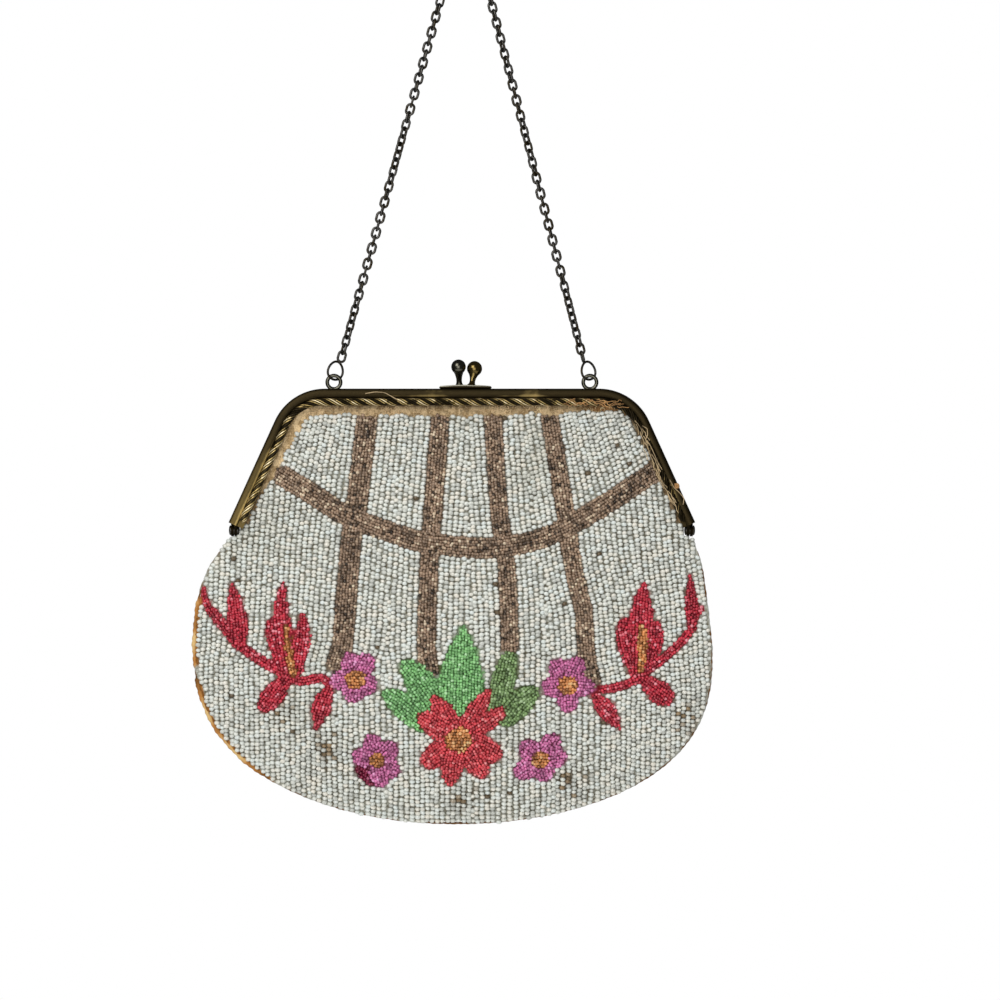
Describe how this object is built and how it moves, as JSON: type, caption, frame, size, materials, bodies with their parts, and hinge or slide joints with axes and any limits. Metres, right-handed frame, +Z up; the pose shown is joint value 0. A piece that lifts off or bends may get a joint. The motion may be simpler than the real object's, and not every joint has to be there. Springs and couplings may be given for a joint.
{
  "type": "beaded handbag",
  "caption": "Hanging evening handbag: floral beaded pouch on a hinged brass frame with a rope-twist edging, ball clasp and cable-chain handle.",
  "frame": {"origin": "top of the bend in the chain handle, where the bag hangs", "axes": "+Z up, -Y out of the front panel, +X to the right of a viewer who faces the front"},
  "size_m": [0.1958, 0.0238, 0.3334],
  "materials": {
    "aged_brass": "tarnished olive brass, bright where it is rubbed",
    "dark_metal": "blackened steel wire",
    "beaded_cloth": "white and coloured glass seed beads on a tan ground cloth",
    "seam_thread": "matte rust-coloured thread"
  },
  "bodies": {
    "root": {"frame_front": "aged_brass", "frame_back": "aged_brass", "clasp_front": "aged_brass", "clasp_back": "aged_brass", "hinge_rivet_left": "dark_metal", "hinge_rivet_right": "dark_metal", "end_ring_left": "dark_metal", "end_ring_right": "dark_metal", "chain": "dark_metal", "bag_front": "beaded_cloth", "bag_back": "beaded_cloth", "side_seam": "seam_thread"}
  },
  "joints": []
}
